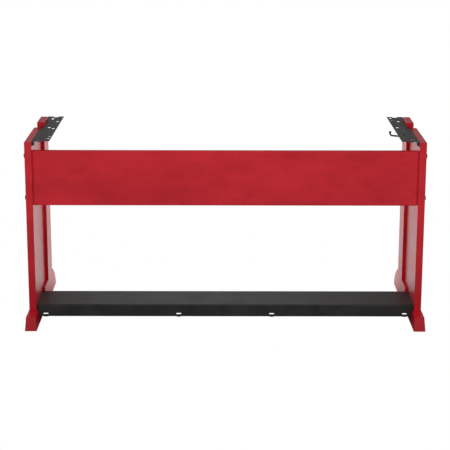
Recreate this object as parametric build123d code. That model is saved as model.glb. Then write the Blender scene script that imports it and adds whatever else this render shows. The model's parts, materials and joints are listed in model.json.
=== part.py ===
"""Floor stand for a full-size digital piano.

Two lacquered side frames (side board, front post and foot) are joined by a rear panel and
a black steel cross rail. Folded steel brackets on top of the side frames carry the piano,
and a headphone hook swivels under the right bracket.

Axes: +X to the right seen from behind the stand, +Y towards the player, +Z up.
Origin: on the floor, in the middle of the feet. Lengths are in millimetres.
"""

from build123d import *
import os

# ---------------------------------------------------------------- driving dimensions
WIDTH = 1260.0              # over the outer faces of the two side boards
FOOT_LENGTH = 546.0
FOOT_CLEAR = 1.0            # gap under a foot, made by its glides

BOARD_THICK = 22.5
BOARD_DEPTH = 254.0
BOARD_TOP = 600.0
BOARD_BACK = -208.0         # Y of the rear edge of the side boards

POST_THICK = 22.5
POST_DEPTH = 108.0
POST_TOP = 617.0
POST_INSET = 10.0           # outer face of the post behind the outer face of the board

HEEL_TOP = 48.0             # low rear part of the foot, under the board
SHOULDER_TOP = 76.0         # high front part of the foot, under the post
SHOULDER_BACK = -39.0       # Y where the high part begins
SHOULDER_FRONT = 181.0      # Y where it starts to slope down to the toe
SHOULDER_INSET = 31.5       # inner face of the high part, from the outer face of the board
FOOT_FLARE = 7.5            # foot stands out from both board faces at the floor
FOOT_EDGE_Z = 44.0          # height of the upper edge of the flared faces
FOOT_EDGE_FLARE = 4.2
HEEL_SLOPE = 12.0           # the heel's end face leans in by this much
TOE_SLOPE = 34.0
TOE_HEIGHT = 15.0
TOE_SETBACK = 14.0

PANEL_HEIGHT = 176.0
PANEL_THICK = 18.0
PANEL_TOP = 572.0
PANEL_RECESS = 5.0          # rear face of the panel in front of the boards' rear edges
PANEL_GAP = 0.2             # fitting gap at each end
PANEL_EASE = 3.0            # rounding of the panel's long edges
SHADOW_WIDTH = 5.0          # rebate at each end of the panel
SHADOW_DEPTH = 4.6

RAIL_DEPTH = 152.0
RAIL_BACK = -194.0          # Y of the rear flange
RAIL_TOP = 65.5
RAIL_BOTTOM = 26.0
RAIL_SHEET = 2.0
RAIL_GAP = 0.4
RAIL_BEND = 4.0
RAIL_SLOT = (16.0, 4.2)     # length, height
RAIL_SLOT_Z = 35.0
RAIL_SLOT_X = (150.0, 579.0)

PLATE_TOP = 603.0           # the piano rests at this height
PLATE_SHEET = 2.0
PLATE_WIDTH = 55.5
PLATE_BACK = -197.0
PLATE_LENGTH = 431.0
FLANGE_DROP = 19.0
BEND_RADIUS = 1.8
PLATE_SLOT = (23.0, 9.5)    # length along Y, width

HOOK_WIRE = 5.5
HOOK_REACH = 46.0           # from the swivel axis to the upturned tip
HOOK_TURN = 27.0            # level run at rest, turned from -X towards +Y
HOOK_DROP = 20.0            # wire's centre line below the top of the plate
HOOK_TIP = 13.5             # height of the tip above the wire's centre line
HOOK_BEND = 7.0
HOOK_AXIS = (579.0, -17.0)  # X and Y

SCREW_D = 6.0
SLIP = 0.1                  # radial clearance round pins and screws in their holes
PUSH_FIT = 0.01             # radial clearance of pieces pushed over the wire
SHEET_HOLE_D = SCREW_D + 0.6
DRILL_EXTRA = 1.0           # holes in wood are this much deeper than the piece in them
OVERCUT = 1.0               # cutters reach this far past the surfaces they cut
EASE = 1.4                  # rounding of the lacquered edges
SEAM_CHAMFER = 1.6          # groove where the post stands on the foot

# ---------------------------------------------------------------- derived places
HALF = WIDTH / 2
BOARD_IN = HALF - BOARD_THICK
BOARD_FRONT = BOARD_BACK + BOARD_DEPTH
POST_OUT = HALF - POST_INSET
POST_IN = POST_OUT - POST_THICK
POST_FRONT = BOARD_FRONT + POST_DEPTH
SHOULDER_IN = HALF - SHOULDER_INSET
PANEL_BACK = BOARD_BACK + PANEL_RECESS
PANEL_MID_Y = PANEL_BACK + PANEL_THICK / 2
RAIL_END = BOARD_IN - RAIL_GAP
PLATE_IN = BOARD_IN - PLATE_WIDTH
PLATE_FRONT = PLATE_BACK + PLATE_LENGTH
PLATE_UNDER = PLATE_TOP - PLATE_SHEET

PANEL_BOLT_Z = (420.0, 555.0)
PANEL_DOWEL_Z = (465.0, 510.0)
RAIL_BOLT_Y = (-170.0, -78.0)
RAIL_BOLT_Z = 56.5
BRACKET_BOLT_Z = 592.0
BOARD_BOLT_Y = (-188.0, -104.0, -22.0)
POST_BOLT_Y = (72.0, 126.0)
POST_DOWEL_Z = (130.0, 270.0, 410.0, 550.0)
FOOT_SCREW_Y = (-190.0, -124.0, 0.0, 99.0)
GLIDE_Y = (-225.0, 205.0)


# ---------------------------------------------------------------- shared shapes
def block(x0, x1, y0, y1, z0, z1):
    """Box between two corners."""
    size = Box(x1 - x0, y1 - y0, z1 - z0, align=(Align.MIN, Align.MIN, Align.MIN))
    return Pos(x0, y0, z0) * size


def rod(axis, x, y, z, diameter, length):
    """Cylinder that starts at a point and runs along +X, +Y or +Z."""
    bar = Cylinder(diameter / 2, length, align=(Align.CENTER, Align.CENTER, Align.MIN))
    turn = {"x": Rot(0, 90, 0), "y": Rot(-90, 0, 0), "z": Rot(0, 0, 0)}[axis]
    return Pos(x, y, z) * turn * bar


def side_profile(points, x0, x1):
    """Outline in the YZ plane, given thickness between x0 and x1."""
    face = make_face(Polyline([(x0, y, z) for y, z in points], close=True))
    return extrude(face, amount=x1 - x0, dir=(1, 0, 0))


def cut_all(body, tools):
    for tool in tools:
        body = body - tool
    return body


def left(shape):
    """Mirror image for the left side of the stand."""
    return mirror(shape, about=Plane.YZ)


def group(solids):
    return Compound(children=[solid for item in solids for solid in item.solids()])


# ---------------------------------------------------------------- fasteners
HEAD_D = 10.5
HEAD_H = 5.0
HEAD_CHAMFER = 0.6
INSERT_D = 9.0
INSERT_LENGTH = 13.0
BOLT_REACH = 12.0           # thread engagement behind the sheet
KEY_AF = 4.0


def hex_prism(across_flats, depth):
    return extrude(RegularPolygon(across_flats / 2, 6, major_radius=False), amount=depth)


def hex_socket(x, y, z, depth):
    """Hexagon key recess from x along +X."""
    return Pos(x, y, z) * Rot(0, 90, 0) * hex_prism(KEY_AF, depth)


def cap_bolt(x, y, z, sheet):
    """Socket head bolt along +X: head against the sheet's inner face at x."""
    head = rod("x", x - HEAD_H, y, z, HEAD_D, HEAD_H)
    head = chamfer(head.edges().group_by(Axis.X)[0], HEAD_CHAMFER)
    shank = rod("x", x, y, z, SCREW_D, sheet + BOLT_REACH)
    return head + shank - hex_socket(x - HEAD_H, y, z, HEAD_H / 2)


def insert(x, y, z):
    """Threaded insert let into wood, from its face at x along +X."""
    sleeve = rod("x", x, y, z, INSERT_D, INSERT_LENGTH)
    return sleeve - rod("x", x, y, z, SCREW_D + 2 * SLIP, INSERT_LENGTH)


def insert_hole(x, y, z):
    return rod("x", x, y, z, INSERT_D + 2 * SLIP, INSERT_LENGTH + DRILL_EXTRA)


# ---------------------------------------------------------------- wooden parts
DOWEL_D = 8.0
DOWEL_LENGTH = 40.0
DOWEL_IN_BOARD = 12.0       # the rest of a panel dowel is in the panel
POST_DOWEL_D = 6.0
BARREL_D = 10.0
BARREL_LENGTH = 13.0
BARREL_COVER = 3.0          # wood between the panel's rear face and the barrel nut's hole
BARREL_SETBACK = 34.0       # barrel nut from the end of the panel
BOLT_PAST_NUT = 6.0         # end of the panel bolt past the barrel nut's middle
PANEL_BOLT_D = 6.0
PANEL_BOLT_HOLE_D = 7.0
PANEL_HEAD = (14.0, 3.2)    # diameter, height
PANEL_HEAD_ROUND = 1.4
PANEL_KEY_DEPTH = 2.2
FOOT_SCREW_HEAD = (12.0, 4.0)
FOOT_SCREW_RECESS_D = 13.0
FOOT_SCREW_SEAT = 20.0      # seat of the screw heads above the underside
FOOT_SCREW_BITE = 34.0
FOOT_SCREW_KEY_DEPTH = 2.5
GLIDE_D = 24.0
GLIDE_THICK = 4.0
GLIDE_CHAMFER = 0.5
POST_DOWEL_X = (BOARD_IN + POST_OUT) / 2
FOOT_MID_X = HALF - BOARD_THICK / 2


def foot_screw_top(y):
    seat = SHOULDER_TOP if y > SHOULDER_BACK else HEEL_TOP
    return seat + FOOT_SCREW_BITE


def foot_screw_x(y):
    return FOOT_MID_X if y < BOARD_FRONT else (POST_IN + POST_OUT) / 2


def side_board():
    outline = [
        (BOARD_BACK, HEEL_TOP),
        (SHOULDER_BACK, HEEL_TOP),
        (SHOULDER_BACK, SHOULDER_TOP),
        (BOARD_FRONT, SHOULDER_TOP),
        (BOARD_FRONT, BOARD_TOP),
        (BOARD_BACK, BOARD_TOP),
    ]
    board = side_profile(outline, BOARD_IN, HALF)
    board = fillet(board.edges(), EASE)
    holes = [rod("x", BOARD_IN, PANEL_MID_Y, z, PANEL_BOLT_HOLE_D, BOARD_THICK) for z in PANEL_BOLT_Z]
    holes += [rod("x", BOARD_IN, PANEL_MID_Y, z, DOWEL_D + 2 * SLIP, DOWEL_IN_BOARD)
              for z in PANEL_DOWEL_Z]
    holes += [insert_hole(BOARD_IN, y, RAIL_BOLT_Z) for y in RAIL_BOLT_Y]
    holes += [insert_hole(BOARD_IN, y, BRACKET_BOLT_Z) for y in BOARD_BOLT_Y]
    dowel_hole = DOWEL_LENGTH / 2 + DRILL_EXTRA
    holes += [rod("y", POST_DOWEL_X, BOARD_FRONT - dowel_hole, z, POST_DOWEL_D + 2 * SLIP, dowel_hole)
              for z in POST_DOWEL_Z]
    for y in FOOT_SCREW_Y:
        if y < BOARD_FRONT:
            depth = foot_screw_top(y) - HEEL_TOP + DRILL_EXTRA
            holes.append(rod("z", FOOT_MID_X, y, HEEL_TOP, SCREW_D + 2 * SLIP, depth))
    return cut_all(board, holes)


def front_post():
    post = block(POST_IN, POST_OUT, BOARD_FRONT, POST_FRONT, SHOULDER_TOP, POST_TOP)
    post = fillet(post.edges(), EASE)
    holes = [insert_hole(POST_IN, y, BRACKET_BOLT_Z) for y in POST_BOLT_Y]
    dowel_hole = DOWEL_LENGTH / 2 + DRILL_EXTRA
    holes += [rod("y", POST_DOWEL_X, BOARD_FRONT, z, POST_DOWEL_D + 2 * SLIP, dowel_hole)
              for z in POST_DOWEL_Z]
    holes += [rod("z", foot_screw_x(y), y, SHOULDER_TOP, SCREW_D + 2 * SLIP, FOOT_SCREW_BITE + DRILL_EXTRA)
              for y in FOOT_SCREW_Y if y > BOARD_FRONT]
    return cut_all(post, holes)


def foot():
    """Flared heel and base, with a high shoulder that slopes down to the toe."""
    half_length = FOOT_LENGTH / 2
    sections = [
        (FOOT_CLEAR, FOOT_FLARE, -half_length, half_length),
        (FOOT_EDGE_Z, FOOT_EDGE_FLARE, -half_length + HEEL_SLOPE, half_length - TOE_SLOPE),
        (HEEL_TOP, 0, BOARD_BACK, half_length - TOE_SLOPE - FOOT_FLARE),
    ]
    rings = []
    for z, flare, y0, y1 in sections:
        ring = Rectangle(BOARD_THICK + 2 * flare, y1 - y0)
        rings.append(Pos(FOOT_MID_X, (y0 + y1) / 2, z) * ring)
    base = loft(rings[:2], ruled=True) + loft(rings[1:], ruled=True)
    shoulder_outline = [
        (SHOULDER_BACK, FOOT_CLEAR),
        (SHOULDER_BACK, SHOULDER_TOP),
        (SHOULDER_FRONT, SHOULDER_TOP),
        (half_length - TOE_SLOPE - FOOT_FLARE, HEEL_TOP),
        (half_length - TOE_SETBACK, TOE_HEIGHT),
        (half_length - TOE_SETBACK, FOOT_CLEAR),
    ]
    shoulder = side_profile(shoulder_outline, SHOULDER_IN, HALF)
    shoulder = chamfer(shoulder.edges().filter_by(Axis.Y).group_by(Axis.Z)[-1], SEAM_CHAMFER)
    shoulder = fillet(shoulder.edges().filter_by(Axis.X).group_by(Axis.Z)[1:], EASE)
    solid = base + shoulder
    holes = []
    for y in FOOT_SCREW_Y:
        x = foot_screw_x(y)
        holes.append(rod("z", x, y, FOOT_CLEAR, FOOT_SCREW_RECESS_D, FOOT_SCREW_SEAT))
        holes.append(rod("z", x, y, FOOT_CLEAR, SCREW_D + 2 * SLIP, SHOULDER_TOP))
    for y in GLIDE_Y:
        holes.append(rod("z", FOOT_MID_X, y, FOOT_CLEAR, GLIDE_D + 2 * SLIP, GLIDE_THICK - FOOT_CLEAR))
    return cut_all(solid, holes)


def glides():
    pads = []
    for y in GLIDE_Y:
        pad = rod("z", FOOT_MID_X, y, 0, GLIDE_D, GLIDE_THICK)
        pads.append(chamfer(pad.edges().group_by(Axis.Z)[0], GLIDE_CHAMFER))
    return pads


def foot_screws():
    """Connecting screws, up through recesses in the foot into the board and the post."""
    screws = []
    for y in FOOT_SCREW_Y:
        x = foot_screw_x(y)
        seat = FOOT_CLEAR + FOOT_SCREW_SEAT
        under = seat - FOOT_SCREW_HEAD[1]
        head = rod("z", x, y, under, *FOOT_SCREW_HEAD)
        shank = rod("z", x, y, seat, SCREW_D, foot_screw_top(y) - seat)
        socket = Pos(x, y, under) * hex_prism(KEY_AF, FOOT_SCREW_KEY_DEPTH)
        screws.append(head + shank - socket)
    return screws


def post_dowels():
    return [rod("y", POST_DOWEL_X, BOARD_FRONT - DOWEL_LENGTH / 2, z, POST_DOWEL_D, DOWEL_LENGTH)
            for z in POST_DOWEL_Z]


def rear_panel():
    end = BOARD_IN - PANEL_GAP
    panel = block(-end, end, PANEL_BACK, PANEL_BACK + PANEL_THICK, PANEL_TOP - PANEL_HEIGHT, PANEL_TOP)
    panel = fillet(panel.edges().filter_by(Axis.X), PANEL_EASE)
    bolt_depth = BARREL_SETBACK + BOLT_PAST_NUT + DRILL_EXTRA
    dowel_depth = DOWEL_LENGTH - DOWEL_IN_BOARD + DRILL_EXTRA
    holes = [block(end - SHADOW_WIDTH, end + OVERCUT, PANEL_BACK - OVERCUT, PANEL_BACK + SHADOW_DEPTH,
                   0, BOARD_TOP)]
    for z in PANEL_BOLT_Z:
        holes.append(rod("x", end - bolt_depth, PANEL_MID_Y, z, PANEL_BOLT_HOLE_D, bolt_depth))
        holes.append(rod("y", end - BARREL_SETBACK, PANEL_BACK + BARREL_COVER, z,
                         BARREL_D + 2 * SLIP, PANEL_THICK))
    for z in PANEL_DOWEL_Z:
        holes.append(rod("x", end - dowel_depth, PANEL_MID_Y, z, DOWEL_D + 2 * SLIP, dowel_depth))
    holes += [left(hole) for hole in holes]
    return cut_all(panel, holes)


def panel_dowels():
    return [rod("x", BOARD_IN + DOWEL_IN_BOARD - DOWEL_LENGTH, PANEL_MID_Y, z, DOWEL_D, DOWEL_LENGTH)
            for z in PANEL_DOWEL_Z]


def panel_bolts():
    """Flat-headed connecting bolts through the board into the barrel nuts."""
    bolts = []
    tip = BOARD_IN - BARREL_SETBACK - BOLT_PAST_NUT
    for z in PANEL_BOLT_Z:
        head = rod("x", HALF, PANEL_MID_Y, z, *PANEL_HEAD)
        head = fillet(head.edges().group_by(Axis.X)[-1], PANEL_HEAD_ROUND)
        shank = rod("x", tip, PANEL_MID_Y, z, PANEL_BOLT_D, HALF - tip)
        key_start = HALF + PANEL_HEAD[1] - PANEL_KEY_DEPTH
        recess = hex_socket(key_start, PANEL_MID_Y, z, PANEL_KEY_DEPTH + OVERCUT)
        bolts.append(head + shank - recess)
    return bolts


def barrel_nuts():
    nuts = []
    x = BOARD_IN - PANEL_GAP - BARREL_SETBACK
    for z in PANEL_BOLT_Z:
        nut = rod("y", x, PANEL_BACK + BARREL_COVER + DRILL_EXTRA, z, BARREL_D, BARREL_LENGTH)
        nuts.append(nut - rod("x", x - BARREL_D, PANEL_MID_Y, z, PANEL_BOLT_D + 2 * SLIP, 2 * BARREL_D))
    return nuts


# ---------------------------------------------------------------- cross rail
END_CUT = (13.0, 26.0)      # sloped cut at the rail's lower corners, width and height
END_PLATE = 3.0
END_PLATE_LIFT = 0.5        # end plate above the sloped cut
FLANGE_EAR = (26.0, 21.0)   # rounded ear round a slot, length and height


def rear_flange_slots(size, depth):
    """Slot shapes of one size in the rear flange, at the four slot places."""
    shapes = []
    for x in RAIL_SLOT_X:
        for side in (-1, 1):
            plane = Plane(origin=(side * x, RAIL_BACK, RAIL_SLOT_Z), x_dir=(1, 0, 0), z_dir=(0, 1, 0))
            slot = plane * SlotOverall(*size)
            shapes.append(extrude(slot, amount=depth))
    return shapes


def cross_rail():
    """Channel of folded sheet, open below, with cable slots in its rear flange."""
    front = RAIL_BACK + RAIL_DEPTH
    outer = block(-RAIL_END, RAIL_END, RAIL_BACK, front, RAIL_BOTTOM, RAIL_TOP)
    outer = fillet(outer.edges().filter_by(Axis.X).group_by(Axis.Z)[-1], RAIL_BEND)
    inner = block(-RAIL_END, RAIL_END, RAIL_BACK + RAIL_SHEET, front - RAIL_SHEET,
                  RAIL_BOTTOM, RAIL_TOP - RAIL_SHEET)
    inner = fillet(inner.edges().filter_by(Axis.X).group_by(Axis.Z)[-1], RAIL_BEND - RAIL_SHEET)
    rail = outer - inner
    for ear in rear_flange_slots(FLANGE_EAR, RAIL_SHEET):
        rail = rail + ear
    rail = cut_all(rail, rear_flange_slots(RAIL_SLOT, 2 * RAIL_SHEET))
    wedge = end_wedge(front)
    return rail - wedge - left(wedge)


def end_wedge(front):
    """What the sloped cut takes away from the rail's lower corner."""
    width, height = END_CUT
    outline = [
        (RAIL_END + OVERCUT, RAIL_BOTTOM - OVERCUT),
        (RAIL_END - width, RAIL_BOTTOM - OVERCUT),
        (RAIL_END - width, RAIL_BOTTOM),
        (RAIL_END, RAIL_BOTTOM + height),
        (RAIL_END + OVERCUT, RAIL_BOTTOM + height),
    ]
    corner = make_face(Polyline([(x, front + OVERCUT, z) for x, z in outline], close=True))
    return extrude(corner, amount=RAIL_DEPTH + 2 * OVERCUT, dir=(0, -1, 0))


def rail_end_plate():
    """Plate welded across the end of the channel, bolted to the side board."""
    y0 = RAIL_BACK + RAIL_BEND
    y1 = RAIL_BACK + RAIL_DEPTH - RAIL_BEND
    z0 = RAIL_BOTTOM + END_CUT[1] + END_PLATE_LIFT
    plate = block(RAIL_END - END_PLATE, RAIL_END, y0, y1, z0, RAIL_TOP - RAIL_SHEET)
    return cut_all(plate, [rod("x", RAIL_END - END_PLATE, y, RAIL_BOLT_Z, SHEET_HOLE_D, END_PLATE)
                           for y in RAIL_BOLT_Y])


def rail_bolts():
    return [cap_bolt(RAIL_END - END_PLATE, y, RAIL_BOLT_Z, END_PLATE) for y in RAIL_BOLT_Y]


def rail_inserts():
    return [insert(BOARD_IN, y, RAIL_BOLT_Z) for y in RAIL_BOLT_Y]


# ---------------------------------------------------------------- support brackets
BOARD_FLANGE_FRONT = -8.0
POST_FLANGE = (56.0, 142.0)
POST_RELIEF = 2.0           # the plate keeps this far from the post's corners
EAR_X = 579.5
EAR_WIDTH = 16.0
EAR_REACH = 13.0
END_NOTCH = (17.0, 14.0)    # width and depth of the notch in the plate's front end
END_NOTCH_X = 578.0
END_NOTCH_RADIUS = 4.0
SMALL_HOLE_D = 7.0
RELIEF_SETBACK = 3.0        # relief hole's middle in front of the flange's end
ROUND_HOLE_D = 15.0
KEYHOLE = (17.0, 5.5, 24.0)  # round end's diameter, slot's width, slot's reach towards -Y
KEYHOLE_PLACE = (584.5, 200.0)

# Slot centres (x from the middle of the stand, y) of each bracket
RIGHT_SLOTS = ((561.5, 212.0), (581.5, 151.5), (565.0, 39.5), (584.0, -164.0))
LEFT_SLOTS = ((563.0, 143.0), (578.5, 33.0), (563.0, 14.0), (561.0, -157.0), (EAR_X, -189.0))
RIGHT_ROUND = ((562.5, 176.0), (566.0, -98.0))
LEFT_ROUND = ((560.0, -122.0),)
RIGHT_SMALL = ((587.0, 96.0),)
LEFT_SMALL = ((581.5, -93.0),)


def through_plate(shape, x, y):
    tool = extrude(shape, amount=3 * PLATE_SHEET)
    return Pos(x, y, PLATE_TOP - 2 * PLATE_SHEET) * tool


def flange(x_out, y0, y1):
    """Edge of the plate folded down against the wood."""
    return block(x_out - PLATE_SHEET, x_out, y0, y1, PLATE_TOP - FLANGE_DROP, PLATE_TOP)


def bracket_sheet():
    clear = POST_RELIEF
    outline = Polyline([
        (PLATE_IN, PLATE_BACK),
        (BOARD_IN, PLATE_BACK),
        (BOARD_IN, BOARD_FRONT - clear),
        (POST_IN, BOARD_FRONT - clear),
        (POST_IN, POST_FRONT + clear),
        (BOARD_IN - clear, POST_FRONT + clear),
        (BOARD_IN - clear, PLATE_FRONT),
        (PLATE_IN, PLATE_FRONT),
    ], close=True)
    plate = Pos(0, 0, PLATE_UNDER) * extrude(make_face(outline), amount=PLATE_SHEET)
    ear = SlotOverall(2 * EAR_REACH + EAR_WIDTH, EAR_WIDTH, rotation=90)
    plate += Pos(EAR_X, PLATE_BACK + EAR_WIDTH / 2, PLATE_UNDER) * extrude(ear, amount=PLATE_SHEET)
    plate += flange(BOARD_IN, PLATE_BACK, BOARD_FLANGE_FRONT)
    plate += flange(POST_IN, *POST_FLANGE)
    for x_out in (BOARD_IN, POST_IN):
        along_y = plate.edges().filter_by(Axis.Y)
        top = along_y.filter_by_position(Axis.Z, PLATE_TOP - SLIP, PLATE_TOP + SLIP)
        plate = fillet(top.filter_by_position(Axis.X, x_out - SLIP, x_out + SLIP), BEND_RADIUS)
    notch = Rectangle(END_NOTCH[0], 2 * END_NOTCH[1])
    notch = fillet(notch.vertices(), END_NOTCH_RADIUS)
    plate -= through_plate(notch, END_NOTCH_X, PLATE_FRONT)
    relief_y = BOARD_FLANGE_FRONT + RELIEF_SETBACK
    plate -= through_plate(Circle(SMALL_HOLE_D / 2), BOARD_IN - PLATE_SHEET, relief_y)
    bolt_holes = [rod("x", BOARD_IN - PLATE_SHEET, y, BRACKET_BOLT_Z, SHEET_HOLE_D, PLATE_SHEET)
                  for y in BOARD_BOLT_Y]
    bolt_holes += [rod("x", POST_IN - PLATE_SHEET, y, BRACKET_BOLT_Z, SHEET_HOLE_D, PLATE_SHEET)
                   for y in POST_BOLT_Y]
    return cut_all(plate, bolt_holes)


def punched(plate, slots, rounds, smalls):
    for x, y in slots:
        plate -= through_plate(SlotOverall(*PLATE_SLOT, rotation=90), x, y)
    for x, y in rounds:
        plate -= through_plate(Circle(ROUND_HOLE_D / 2), x, y)
    for x, y in smalls:
        plate -= through_plate(Circle(SMALL_HOLE_D / 2), x, y)
    return plate


def bracket_right():
    """Punched sheet with a countersunk hole for the hook's pivot screw."""
    plate = punched(bracket_sheet(), RIGHT_SLOTS, RIGHT_ROUND, RIGHT_SMALL)
    plate -= through_plate(Circle(PIVOT_D / 2 + SLIP), *HOOK_AXIS)
    return plate - pivot_cone(PLATE_TOP, SLIP)


def bracket_left():
    """Punched sheet with a keyhole slot, mirrored."""
    plate = punched(bracket_sheet(), LEFT_SLOTS, LEFT_ROUND, LEFT_SMALL)
    round_end, width, reach = KEYHOLE
    slot = Pos(0, -reach / 2) * SlotOverall(reach + width, width, rotation=90)
    plate -= through_plate(Circle(round_end / 2) + slot, *KEYHOLE_PLACE)
    return left(plate)


def bracket_bolts():
    bolts = [cap_bolt(BOARD_IN - PLATE_SHEET, y, BRACKET_BOLT_Z, PLATE_SHEET) for y in BOARD_BOLT_Y]
    return bolts + [cap_bolt(POST_IN - PLATE_SHEET, y, BRACKET_BOLT_Z, PLATE_SHEET) for y in POST_BOLT_Y]


def bracket_inserts():
    inserts = [insert(BOARD_IN, y, BRACKET_BOLT_Z) for y in BOARD_BOLT_Y]
    return inserts + [insert(POST_IN, y, BRACKET_BOLT_Z) for y in POST_BOLT_Y]


# ---------------------------------------------------------------- headphone hook
HOOK_COLLAR = (10.0, 2.0)
WAVE_WASHER = (9.0, 0.8)
HOOK_PLAY = 0.1
COLLAR_TOP = PLATE_UNDER - HOOK_PLAY - WAVE_WASHER[1]
PIVOT_D = 3.0               # countersunk pivot screw, through the plate into the stem
PIVOT_HEAD_D = 6.0
PIVOT_LENGTH = 9.0          # below the plate
PIVOT_SINK = 0.1            # screw head below the top of the plate
PIVOT_KEY = (1.8, 1.0)      # across flats, depth
CAP_WALL = 0.8
CAP_LENGTH = 7.0
CAP_ROUND = 1.5


def pivot_cone(top, clearance):
    """Right-angled cone of the screw head, or of its countersink with some clearance."""
    rise = (PIVOT_HEAD_D - PIVOT_D) / 2
    if clearance:
        rise += PIVOT_SINK
    cone = Cone(PIVOT_D / 2 + clearance, PIVOT_D / 2 + clearance + rise, rise,
                align=(Align.CENTER, Align.CENTER, Align.MAX))
    return Pos(*HOOK_AXIS, top) * cone


def hook_screw():
    """Countersunk screw that the hook turns with, its head flush in the plate."""
    head_top = PLATE_TOP - PIVOT_SINK
    low = PLATE_UNDER - PIVOT_LENGTH
    screw = pivot_cone(head_top, 0) + rod("z", *HOOK_AXIS, low, PIVOT_D, head_top - low)
    across_flats, depth = PIVOT_KEY
    return screw - Pos(*HOOK_AXIS, head_top - depth) * hex_prism(across_flats, depth)


def hook_tip_place():
    turn = Rot(0, 0, -HOOK_TURN)
    return Pos(*HOOK_AXIS) * turn * Pos(-HOOK_REACH, 0)


def headphone_hook():
    """Bent wire under the plate: upright stem with a collar, level run, upturned tip."""
    level = PLATE_TOP - HOOK_DROP
    path = FilletPolyline(
        (0, 0, COLLAR_TOP),
        (0, 0, level),
        (-HOOK_REACH, 0, level),
        (-HOOK_REACH, 0, level + HOOK_TIP),
        radius=HOOK_BEND,
    )
    wire = sweep(Plane(path @ 0, z_dir=path % 0) * Circle(HOOK_WIRE / 2), path=path)
    wire += rod("z", 0, 0, COLLAR_TOP - HOOK_COLLAR[1], *HOOK_COLLAR)
    low = PLATE_UNDER - PIVOT_LENGTH - DRILL_EXTRA
    wire -= rod("z", 0, 0, low, PIVOT_D + 2 * SLIP, COLLAR_TOP - low)
    return Pos(*HOOK_AXIS) * Rot(0, 0, -HOOK_TURN) * wire


def hook_washer():
    outer, height = WAVE_WASHER
    washer = rod("z", *HOOK_AXIS, COLLAR_TOP, outer, height)
    return washer - rod("z", *HOOK_AXIS, COLLAR_TOP, PIVOT_D + 2 * SLIP, height)


def hook_tip_cap():
    """Soft cap pushed over the end of the wire."""
    low = PLATE_TOP - HOOK_DROP + HOOK_TIP - CAP_LENGTH + CAP_WALL
    cap = rod("z", 0, 0, low, HOOK_WIRE + 2 * CAP_WALL, CAP_LENGTH)
    cap = fillet(cap.edges().group_by(Axis.Z)[-1], CAP_ROUND)
    cap -= rod("z", 0, 0, low, HOOK_WIRE + 2 * PUSH_FIT, CAP_LENGTH - CAP_WALL)
    return hook_tip_place() * cap


# ---------------------------------------------------------------- the stand
def build():
    paired = {
        "side_board": side_board(),
        "front_post": front_post(),
        "foot": foot(),
        "floor_glides": group(glides()),
        "foot_screws": group(foot_screws()),
        "post_dowels": group(post_dowels()),
        "panel_dowels": group(panel_dowels()),
        "panel_bolts": group(panel_bolts()),
        "barrel_nuts": group(barrel_nuts()),
        "rail_end_plate": rail_end_plate(),
        "rail_bolts": group(rail_bolts()),
        "rail_inserts": group(rail_inserts()),
        "bracket_bolts": group(bracket_bolts()),
        "bracket_inserts": group(bracket_inserts()),
    }
    nodes = {
        "rear_panel": rear_panel(),
        "cross_rail": cross_rail(),
        "support_bracket_right": bracket_right(),
        "support_bracket_left": bracket_left(),
        "headphone_hook": headphone_hook(),
        "hook_washer": hook_washer(),
        "hook_screw": hook_screw(),
        "hook_tip_cap": hook_tip_cap(),
    }
    for name, shape in paired.items():
        nodes[name + "_right"] = shape
        nodes[name + "_left"] = left(shape)
    return nodes


os.makedirs("parts", exist_ok=True)
for node, shape in build().items():
    export_step(shape, f"parts/{node}.step")
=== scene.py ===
"""Looks of the digital piano stand: lacquer, powder coat, small steel parts, studio and camera."""

import json
import math

import bpy
from mathutils import Matrix, Vector


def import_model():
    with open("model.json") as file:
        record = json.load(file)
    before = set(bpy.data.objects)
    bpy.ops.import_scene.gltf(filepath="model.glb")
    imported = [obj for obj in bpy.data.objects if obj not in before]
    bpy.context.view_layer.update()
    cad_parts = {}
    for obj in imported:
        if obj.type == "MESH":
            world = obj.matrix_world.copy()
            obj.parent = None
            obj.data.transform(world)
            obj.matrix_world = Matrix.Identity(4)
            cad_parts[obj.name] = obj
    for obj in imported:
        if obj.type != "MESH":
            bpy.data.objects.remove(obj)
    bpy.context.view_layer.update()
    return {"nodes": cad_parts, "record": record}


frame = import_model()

# ------------------------------------------------ camera values: metres and radians, lens in mm
CAMERA_PLACE = (-0.0101, -4.6174, 1.4696)
CAMERA_YAW = 0.002
CAMERA_PITCH = 0.252
CAMERA_ROLL = -0.002
CAMERA_LENS = 114.96
CAMERA_REACH = 200

# ------------------------------------------------ material values
# Colours are linear, noise scales are per metre and bump distances are in metres.
# A span is the stretch of noise values that carries one end of a look over to the other.
NOISE_SPAN = (0.3, 0.7)
WHOLE_SPAN = (0.0, 1.0)

LACQUER_DARK = (0.66, 0.010, 0.022)
LACQUER_LIGHT = (0.82, 0.019, 0.036)
LACQUER_CLOUD = {"scale": 8.0, "detail": 4.0, "roughness": 0.62, "stretch": (0.7, 1.0, 1.3)}
LACQUER_STREAK = {"scale": 70.0, "detail": 3.0, "roughness": 0.6, "stretch": (0.25, 1.0, 1.0)}
LACQUER_WAVES = {"scale": 28.0, "detail": 2.0, "roughness": 0.5}
LACQUER_PEEL = {"scale": 420.0, "detail": 2.0, "roughness": 0.5}
WAVES_BUMP = {"strength": 0.02, "distance": 0.003}
PEEL_BUMP = {"strength": 0.012, "distance": 0.0004}
STREAK_SHARE = (0.0, 0.25)
MOTTLE_SPAN = (0.46, 0.76)
CLOUD_SPAN = (0.35, 0.7)
LACQUER_ROUGH = (0.30, 0.37)
LACQUER_IOR = 1.34

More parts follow.
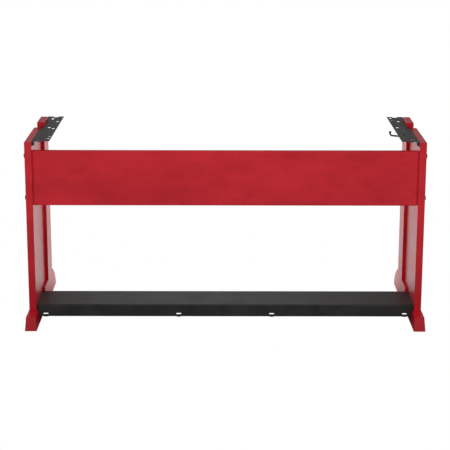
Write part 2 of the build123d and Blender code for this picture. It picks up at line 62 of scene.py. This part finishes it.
POWDER_DARK = (0.033, 0.032, 0.031)
POWDER_LIGHT = (0.050, 0.049, 0.048)
POWDER_PATCH = {"scale": 14.0, "detail": 3.0, "roughness": 0.6}
POWDER_GRAIN = {"scale": 900.0, "detail": 2.0, "roughness": 0.6}
POWDER_BUMP = {"strength": 0.12, "distance": 0.0003}
POWDER_SPAN = (0.35, 0.65)
POWDER_ROUGH = (0.38, 0.5)
POWDER_IOR = 1.33

METAL_PATCH = {"scale": 120.0, "detail": 2.0, "roughness": 0.5}
METAL_GRAIN = {"scale": 700.0, "detail": 3.0, "roughness": 0.6}
METAL_BUMP = {"strength": 0.12, "distance": 0.0002}
METALS = {
    "black_wire": {"dark": (0.010,) * 3, "light": (0.020,) * 3, "rough": (0.28, 0.42), "metallic": 0.0},
    "dark_steel": {"dark": (0.020,) * 3, "light": (0.045,) * 3, "rough": (0.30, 0.45), "metallic": 0.6},
    "zinc_steel": {
        "dark": (0.58, 0.59, 0.60),
        "light": (0.74, 0.74, 0.72),
        "rough": (0.30, 0.45),
        "metallic": 1.0,
    },
}

BEECH_DARK = (0.50, 0.33, 0.18)
BEECH_LIGHT = (0.68, 0.50, 0.32)
BEECH_GRAIN = {"scale": 90.0, "detail": 5.0, "roughness": 0.65, "stretch": (0.15, 1.0, 1.0)}
BEECH_BUMP = {"strength": 0.2, "distance": 0.0005}
BEECH_ROUGH = 0.6

SOFT_DARK = (0.010,) * 3
SOFT_LIGHT = (0.022,) * 3
SOFT_GRAIN = {"scale": 500.0, "detail": 2.0, "roughness": 0.5}
SOFT_BUMP = {"strength": 0.15, "distance": 0.0003}
SOFT_BLACKS = {"glide_plastic": (0.45, 0.6), "black_vinyl": (0.5, 0.65)}

# ------------------------------------------------ studio values: metres, lamp powers in watts
WHITE = (1, 1, 1, 1)
WORLD_STRENGTH = 0.31

BACKDROP_HALF = 60.0
BACKDROP_WALL = 60.0
BACKDROP_HEIGHT = -0.001
BACKDROP_GLOW = 1.0
BACKDROP_UNSEEN_BY = ("diffuse", "glossy", "transmission", "volume_scatter", "shadow")

# The ground glows beyond the stand and on the camera's side, each rising along Y over the places given.
GROUND_HALF = 40.0
GROUND_HEIGHT = -0.002
GROUND_DARK = (0.28,) * 3
GROUND_LIGHT = (0.32,) * 3
GROUND_GRAIN = {"scale": 3.0, "detail": 3.0, "roughness": 0.5}
BEYOND_RISE = (0.05, 0.35)
BEYOND_GLOW = (0.0, 1.0)
NEAR_RISE = (-0.3, -1.1)
NEAR_GLOW = (0.0, 0.5)

SOFTBOXES = {
    "front": {"place": (0, -3.4, 1.1), "target": (0, -0.2, 0.4), "size": (3.2, 0.8), "power": 8.5},
    "high": {"place": (0, -1.3, 1.6), "target": (0, -0.2, 0.5), "size": (3.0, 0.6), "power": 6.0},
    "back": {"place": (-0.15, 3.2, 1.3), "target": (-0.1, 0, 0.1), "size": (1.3, 1.6), "power": 2.4},
}


# ------------------------------------------------ node helpers
class Shader:
    """A material's node tree, with short calls to add and join its nodes."""

    def __init__(self, name):
        self.material = bpy.data.materials.new(name)
        self.material.use_nodes = True
        self.tree = self.material.node_tree
        self.tree.nodes.clear()
        self.out = self.tree.nodes.new("ShaderNodeOutputMaterial")

    def add(self, kind, **inputs):
        """A node with its inputs set to plain values or joined to other nodes' outputs."""
        node = self.tree.nodes.new("ShaderNode" + kind)
        for key, value in inputs.items():
            socket = node.inputs[key.replace("_", " ")]
            if isinstance(value, bpy.types.NodeSocket):
                self.tree.links.new(value, socket)
            else:
                socket.default_value = value
        return node

    def place(self):
        return self.add("TexCoord").outputs["Object"]

    def noise(self, vector, scale, detail, roughness, stretch=None):
        if stretch:
            vector = self.add("Mapping", Vector=vector, Scale=stretch).outputs[0]
        node = self.add("TexNoise", Vector=vector, Scale=scale, Detail=detail, Roughness=roughness)
        return node.outputs["Fac"]

    def spread(self, value, span, result=WHOLE_SPAN):
        """The value, with the given span carried over to the result's."""
        node = self.add("MapRange", Value=value)
        for key, number in zip(("From Min", "From Max", "To Min", "To Max"), (*span, *result)):
            node.inputs[key].default_value = number
        return node.outputs[0]

    def total(self, one, two):
        node = self.add("Math")
        self.tree.links.new(one, node.inputs[0])
        self.tree.links.new(two, node.inputs[1])
        return node.outputs[0]

    def blend_colours(self, share, dark, light):
        node = self.add("Mix")
        node.data_type = "RGBA"
        self.tree.links.new(share, node.inputs["Factor"])
        for key, colour in (("A", dark), ("B", light)):
            socket = [s for s in node.inputs if s.name == key and s.type == "RGBA"][0]
            socket.default_value = (*colour, 1.0)
        return [s for s in node.outputs if s.type == "RGBA"][0]

    def bump(self, height, strength, distance, normal=None):
        node = self.add("Bump", Height=height, Strength=strength, Distance=distance)
        if normal:
            self.tree.links.new(normal, node.inputs["Normal"])
        return node.outputs[0]

    def show(self, shader):
        self.tree.links.new(shader.outputs[0], self.out.inputs[0])
        return self.material

    def finish(self, **inputs):
        return self.show(self.add("BsdfPrincipled", **inputs))


# ------------------------------------------------ materials
def lacquer():
    """Red piano-stand lacquer: cloudy colour, faint streaks along X and slight orange peel."""
    s = Shader("red_lacquer")
    place = s.place()
    cloud = s.noise(place, **LACQUER_CLOUD)
    streak = s.noise(place, **LACQUER_STREAK)
    mottle = s.total(cloud, s.spread(streak, WHOLE_SPAN, STREAK_SHARE))
    waves = s.bump(s.noise(place, **LACQUER_WAVES), **WAVES_BUMP)
    peel = s.noise(place, **LACQUER_PEEL)
    return s.finish(
        Base_Color=s.blend_colours(s.spread(mottle, MOTTLE_SPAN), LACQUER_DARK, LACQUER_LIGHT),
        Roughness=s.spread(cloud, CLOUD_SPAN, LACQUER_ROUGH),
        Normal=s.bump(peel, normal=waves, **PEEL_BUMP),
        IOR=LACQUER_IOR,
    )


def powder_coat():
    """Satin black powder coat with a fine grain."""
    s = Shader("black_powder")
    place = s.place()
    patch = s.noise(place, **POWDER_PATCH)
    grain = s.noise(place, **POWDER_GRAIN)
    return s.finish(
        Base_Color=s.blend_colours(s.spread(patch, POWDER_SPAN), POWDER_DARK, POWDER_LIGHT),
        Roughness=s.spread(patch, NOISE_SPAN, POWDER_ROUGH),
        Normal=s.bump(grain, **POWDER_BUMP),
        IOR=POWDER_IOR,
    )


def plain_metal(name, dark, light, rough, metallic):
    """Small steel parts: patchy colour with a fine, uneven grain."""
    s = Shader(name)
    place = s.place()
    patch = s.noise(place, **METAL_PATCH)
    grain = s.noise(place, **METAL_GRAIN)
    return s.finish(
        Base_Color=s.blend_colours(s.spread(patch, NOISE_SPAN), dark, light),
        Roughness=s.spread(grain, NOISE_SPAN, rough),
        Normal=s.bump(grain, **METAL_BUMP),
        Metallic=metallic,
    )


def beech():
    """Plain dowel wood with grain along X."""
    s = Shader("beech")
    grain = s.noise(s.place(), **BEECH_GRAIN)
    return s.finish(
        Base_Color=s.blend_colours(s.spread(grain, NOISE_SPAN), BEECH_DARK, BEECH_LIGHT),
        Roughness=BEECH_ROUGH,
        Normal=s.bump(grain, **BEECH_BUMP),
    )


def soft_black(name, rough):
    """Moulded glide plastic or vinyl with a fine leathery bump."""
    s = Shader(name)
    grain = s.noise(s.place(), **SOFT_GRAIN)
    return s.finish(
        Base_Color=s.blend_colours(s.spread(grain, NOISE_SPAN), SOFT_DARK, SOFT_LIGHT),
        Roughness=s.spread(grain, NOISE_SPAN, rough),
        Normal=s.bump(grain, **SOFT_BUMP),
    )


def make_materials():
    """One material for each slot in the record."""
    return {
        "red_lacquer": lacquer(),
        "black_powder": powder_coat(),
        **{name: plain_metal(name, **look) for name, look in METALS.items()},
        "beech": beech(),
        **{name: soft_black(name, rough) for name, rough in SOFT_BLACKS.items()},
    }


def dress_nodes(materials):
    """Each CAD node gets the material that the record names for it."""
    for entry in frame["record"]["subparts"]:
        node = frame["nodes"][entry["node"]]
        node.data.materials.clear()
        node.data.materials.append(materials[entry["material_slot"]])


# ------------------------------------------------ studio
def stage_square(name, half, height, material, wall=0.0):
    """A square floor sheet, with walls round it where a wall height is given."""
    low = [(-half, -half, height), (half, -half, height), (half, half, height), (-half, half, height)]
    high = [(x, y, height + wall) for x, y, _ in low]
    faces = [(0, 1, 2, 3)]
    if wall:
        faces += [(i, (i + 1) % 4, (i + 1) % 4 + 4, i + 4) for i in range(4)]
    mesh = bpy.data.meshes.new(name)
    mesh.from_pydata(low + high if wall else low, [], faces)
    mesh.materials.append(material)
    sheet = bpy.data.objects.new(name, mesh)
    bpy.context.scene.collection.objects.link(sheet)
    return sheet


def ground():
    """Pale floor that lights the stand from below and takes its shadows, unseen by the camera."""
    s = Shader("studio_ground")
    place = s.place()
    grain = s.noise(place, **GROUND_GRAIN)
    colour = s.blend_colours(s.spread(grain, NOISE_SPAN), GROUND_DARK, GROUND_LIGHT)
    diffuse = s.add("BsdfDiffuse", Color=colour)
    along = s.add("SeparateXYZ", Vector=place).outputs["Y"]
    beyond = s.spread(along, BEYOND_RISE, BEYOND_GLOW)
    near = s.spread(along, NEAR_RISE, NEAR_GLOW)
    glow = s.add("Emission", Color=WHITE, Strength=s.total(beyond, near))
    lit = s.add("AddShader")
    s.tree.links.new(diffuse.outputs[0], lit.inputs[0])
    s.tree.links.new(glow.outputs[0], lit.inputs[1])
    sheet = stage_square("studio_ground", GROUND_HALF, GROUND_HEIGHT, s.show(lit))
    sheet.visible_camera = False


def backdrop():
    """Plain white floor and walls, seen by the camera but lighting nothing."""
    s = Shader("backdrop")
    glow = s.add("Emission", Color=WHITE, Strength=BACKDROP_GLOW)
    sheet = stage_square("backdrop", BACKDROP_HALF, BACKDROP_HEIGHT, s.show(glow), BACKDROP_WALL)
    for ray in BACKDROP_UNSEEN_BY:
        setattr(sheet, "visible_" + ray, False)


def world():
    """Even white studio surround."""
    sky = bpy.data.worlds.new("studio")
    sky.use_nodes = True
    background = sky.node_tree.nodes["Background"]
    background.inputs["Color"].default_value = WHITE
    background.inputs["Strength"].default_value = WORLD_STRENGTH
    bpy.context.scene.world = sky


def softbox(name, place, target, size, power):
    """A rectangular lamp that faces its target and doesn't show in the picture."""
    light = bpy.data.lights.new(name, "AREA")
    light.shape = "RECTANGLE"
    light.size, light.size_y = size
    light.energy = power
    lamp = bpy.data.objects.new(name, light)
    lamp.location = place
    lamp.rotation_euler = (Vector(target) - Vector(place)).to_track_quat("-Z", "Y").to_euler()
    lamp.visible_camera = False
    bpy.context.scene.collection.objects.link(lamp)


def camera():
    """The stand seen from behind and a little above, turned by yaw, pitch and roll."""
    forward = Vector((
        math.sin(CAMERA_YAW) * math.cos(CAMERA_PITCH),
        math.cos(CAMERA_YAW) * math.cos(CAMERA_PITCH),
        -math.sin(CAMERA_PITCH),
    ))
    level = Vector((math.cos(CAMERA_YAW), -math.sin(CAMERA_YAW), 0))
    down = forward.cross(level)
    right = math.cos(CAMERA_ROLL) * level + math.sin(CAMERA_ROLL) * down
    up = right.cross(forward)
    data = bpy.data.cameras.new("camera")
    data.lens = CAMERA_LENS
    data.clip_end = CAMERA_REACH
    eye = bpy.data.objects.new("camera", data)
    turn = Matrix((right, up, -forward)).transposed()
    eye.matrix_world = Matrix.Translation(CAMERA_PLACE) @ turn.to_4x4()
    bpy.context.scene.collection.objects.link(eye)
    bpy.context.scene.camera = eye


# ------------------------------------------------ build
camera()
bpy.context.scene.view_settings.view_transform = "Standard"
dress_nodes(make_materials())
world()
ground()
backdrop()
for box_name, setting in SOFTBOXES.items():
    softbox(box_name, **setting)
